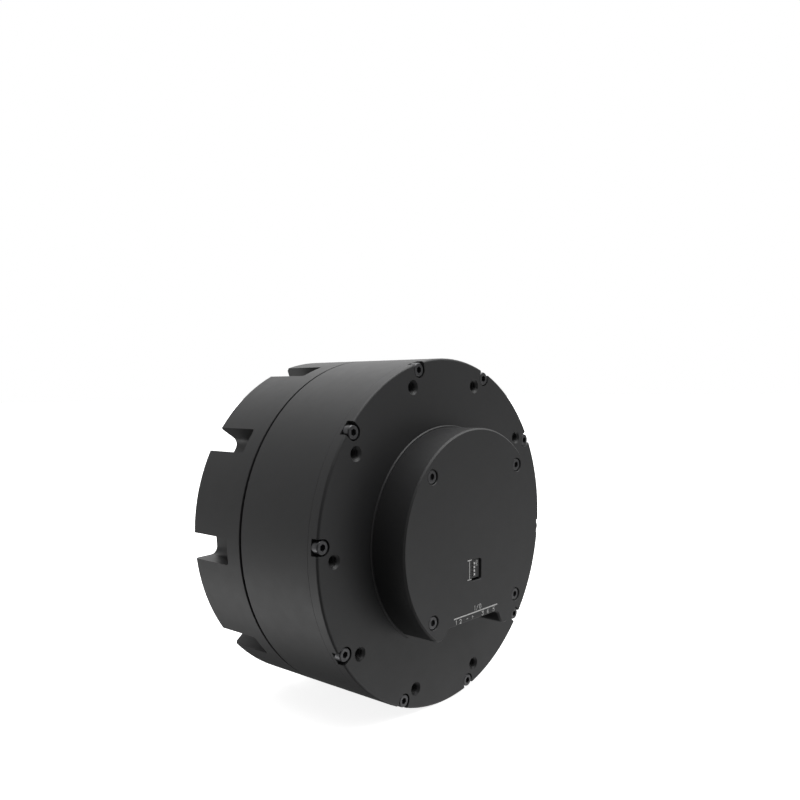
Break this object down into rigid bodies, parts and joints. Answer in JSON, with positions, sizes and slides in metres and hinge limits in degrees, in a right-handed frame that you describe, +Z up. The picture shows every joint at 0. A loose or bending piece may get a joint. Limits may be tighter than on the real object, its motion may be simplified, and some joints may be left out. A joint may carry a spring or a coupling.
{
  "type": "robot joint actuator",
  "caption": "Round robot joint actuator: black drum with rim pockets, turning output flange at the front, raised electronics cap with switches and sockets at the rear.",
  "frame": {"origin": "centre of the gear housing's front mounting face", "axes": "+Y along the common axis, out of the output flange; -Y out of the electronics cap; +Z up, away from the sockets; X across"},
  "size_m": [0.12, 0.0763, 0.12],
  "materials": {
    "black_anodised": "matte black anodised",
    "flange_anodised": "matte black anodised",
    "black_oxide_screw": "black oxide",
    "lamination": "stacked sheet",
    "copper_winding": "enamelled copper wire",
    "machined_aluminium": "turned",
    "shaft_steel": "ground",
    "gear_steel": "cut and hardened",
    "magnet_nickel": "nickel plated",
    "bearing_steel": "polished",
    "bearing_cage": "natural nylon",
    "seal_rubber": "matte",
    "board_green": "solder mask",
    "chip_black": "moulded",
    "capacitor_can": "drawn can",
    "switch_body": "moulded",
    "switch_lever": "moulded",
    "connector_black": "moulded",
    "contact_gold": "gold plated"
  },
  "bodies": {
    "housing": {"gear_housing": "black_anodised", "motor_housing": "black_anodised", "rear_cover": "black_anodised", "hub_cap": "black_anodised", "cover_screws": "black_oxide_screw", "hub_screws": "black_oxide_screw", "housing_screws": "black_oxide_screw", "stator_core": "lamination", "stator_coils": "copper_winding", "phase_leads": "copper_winding", "rear_bearing_outer": "bearing_steel", "front_bearing_outer": "bearing_steel", "ring_gear": "gear_steel", "ring_gear_dowels": "shaft_steel", "main_bearing_outer": "bearing_steel", "bearing_lock_ring": "black_anodised", "output_seal": "seal_rubber", "driver_board": "board_green", "board_chips": "chip_black", "board_capacitors": "capacitor_can", "board_screws": "black_oxide_screw", "dip_switch_body": "switch_body", "power_connector": "connector_black", "power_pins": "contact_gold", "signal_connector": "connector_black", "signal_pins": "contact_gold"},
    "rotor": {"rotor_shaft": "shaft_steel", "rotor_spider": "machined_aluminium", "rotor_back_iron": "shaft_steel", "rotor_magnets": "magnet_nickel", "encoder_ring_magnet": "magnet_nickel", "rear_bearing_inner": "bearing_steel", "front_bearing_inner": "bearing_steel"},
    "rear_ball_set": {"rear_bearing_balls": "bearing_steel", "rear_bearing_cage": "bearing_cage"},
    "front_ball_set": {"front_bearing_balls": "bearing_steel", "front_bearing_cage": "bearing_cage"},
    "first_stage_carrier": {"stage1_carrier": "machined_aluminium", "stage1_pins": "shaft_steel"},
    "first_stage_planet_1": {"stage1_planet_1": "gear_steel"},
    "first_stage_planet_2": {"stage1_planet_2": "gear_steel"},
    "first_stage_planet_3": {"stage1_planet_3": "gear_steel"},
    "output": {"output_carrier": "machined_aluminium", "output_flange": "flange_anodised", "flange_screws": "black_oxide_screw", "stage2_pins": "shaft_steel", "main_bearing_inner": "bearing_steel", "encoder_rod": "machined_aluminium", "encoder_rod_magnet": "magnet_nickel"},
    "second_stage_planet_1": {"stage2_planet_1": "gear_steel"},
    "second_stage_planet_2": {"stage2_planet_2": "gear_steel"},
    "second_stage_planet_3": {"stage2_planet_3": "gear_steel"},
    "main_roller_set": {"main_bearing_rollers": "bearing_steel"},
    "address_lever_1": {"dip_lever_1": "switch_lever"},
    "address_lever_2": {"dip_lever_2": "switch_lever"},
    "address_lever_3": {"dip_lever_3": "switch_lever"},
    "address_lever_4": {"dip_lever_4": "switch_lever"}
  },
  "joints": [
    {"name": "rotor_spin", "type": "hinge", "parent": "housing", "child": "rotor", "pos_m": [0, -0.045, 0], "axis": [0, 1, 0], "continuous": true},
    {"name": "rear_ball_set_spin", "type": "hinge", "parent": "housing", "child": "rear_ball_set", "pos_m": [0, -0.059, 0], "axis": [0, 1, 0], "continuous": true},
    {"name": "front_ball_set_spin", "type": "hinge", "parent": "housing", "child": "front_ball_set", "pos_m": [0, -0.0296, 0], "axis": [0, 1, 0], "continuous": true},
    {"name": "first_stage_carrier_spin", "type": "hinge", "parent": "housing", "child": "first_stage_carrier", "pos_m": [0, -0.0172, 0], "axis": [0, 1, 0], "continuous": true},
    {"name": "first_stage_planet_1_spin", "type": "hinge", "parent": "first_stage_carrier", "child": "first_stage_planet_1", "pos_m": [0, -0.0221, 0.021], "axis": [0, 1, 0], "continuous": true},
    {"name": "first_stage_planet_2_spin", "type": "hinge", "parent": "first_stage_carrier", "child": "first_stage_planet_2", "pos_m": [0.01819, -0.0221, -0.0105], "axis": [0, 1, 0], "continuous": true},
    {"name": "first_stage_planet_3_spin", "type": "hinge", "parent": "first_stage_carrier", "child": "first_stage_planet_3", "pos_m": [-0.01819, -0.0221, -0.0105], "axis": [0, 1, 0], "continuous": true},
    {"name": "output_spin", "type": "hinge", "parent": "housing", "child": "output", "pos_m": [0, 0, 0], "axis": [0, 1, 0], "continuous": true},
    {"name": "second_stage_planet_1_spin", "type": "hinge", "parent": "output", "child": "second_stage_planet_1", "pos_m": [0, -0.0121, 0.021], "axis": [0, 1, 0], "continuous": true},
    {"name": "second_stage_planet_2_spin", "type": "hinge", "parent": "output", "child": "second_stage_planet_2", "pos_m": [0.01819, -0.0121, -0.0105], "axis": [0, 1, 0], "continuous": true},
    {"name": "second_stage_planet_3_spin", "type": "hinge", "parent": "output", "child": "second_stage_planet_3", "pos_m": [-0.01819, -0.0121, -0.0105], "axis": [0, 1, 0], "continuous": true},
    {"name": "main_roller_set_spin", "type": "hinge", "parent": "housing", "child": "main_roller_set", "pos_m": [0, -0.0046, 0], "axis": [0, 1, 0], "continuous": true},
    {"name": "address_lever_1_slide", "type": "slide", "parent": "housing", "child": "address_lever_1", "axis": [-1, 0, 0], "range_m": [0, 0.00075]},
    {"name": "address_lever_2_slide", "type": "slide", "parent": "housing", "child": "address_lever_2", "axis": [-1, 0, 0], "range_m": [0, 0.00075]},
    {"name": "address_lever_3_slide", "type": "slide", "parent": "housing", "child": "address_lever_3", "axis": [-1, 0, 0], "range_m": [0, 0.00075]},
    {"name": "address_lever_4_slide", "type": "slide", "parent": "housing", "child": "address_lever_4", "axis": [-1, 0, 0], "range_m": [0, 0.00075]}
  ],
  "couplings": [
    {"joint": "rear_ball_set_spin", "follows": "rotor_spin", "ratio": 0.43023},
    {"joint": "front_ball_set_spin", "follows": "rotor_spin", "ratio": 0.43023},
    {"joint": "first_stage_carrier_spin", "follows": "rotor_spin", "ratio": 0.16667},
    {"joint": "first_stage_planet_1_spin", "follows": "rotor_spin", "ratio": -0.41667},
    {"joint": "first_stage_planet_2_spin", "follows": "rotor_spin", "ratio": -0.41667},
    {"joint": "first_stage_planet_3_spin", "follows": "rotor_spin", "ratio": -0.41667},
    {"joint": "output_spin", "follows": "rotor_spin", "ratio": 0.027778},
    {"joint": "second_stage_planet_1_spin", "follows": "rotor_spin", "ratio": -0.069444},
    {"joint": "second_stage_planet_2_spin", "follows": "rotor_spin", "ratio": -0.069444},
    {"joint": "second_stage_planet_3_spin", "follows": "rotor_spin", "ratio": -0.069444},
    {"joint": "main_roller_set_spin", "follows": "rotor_spin", "ratio": 0.013541}
  ]
}
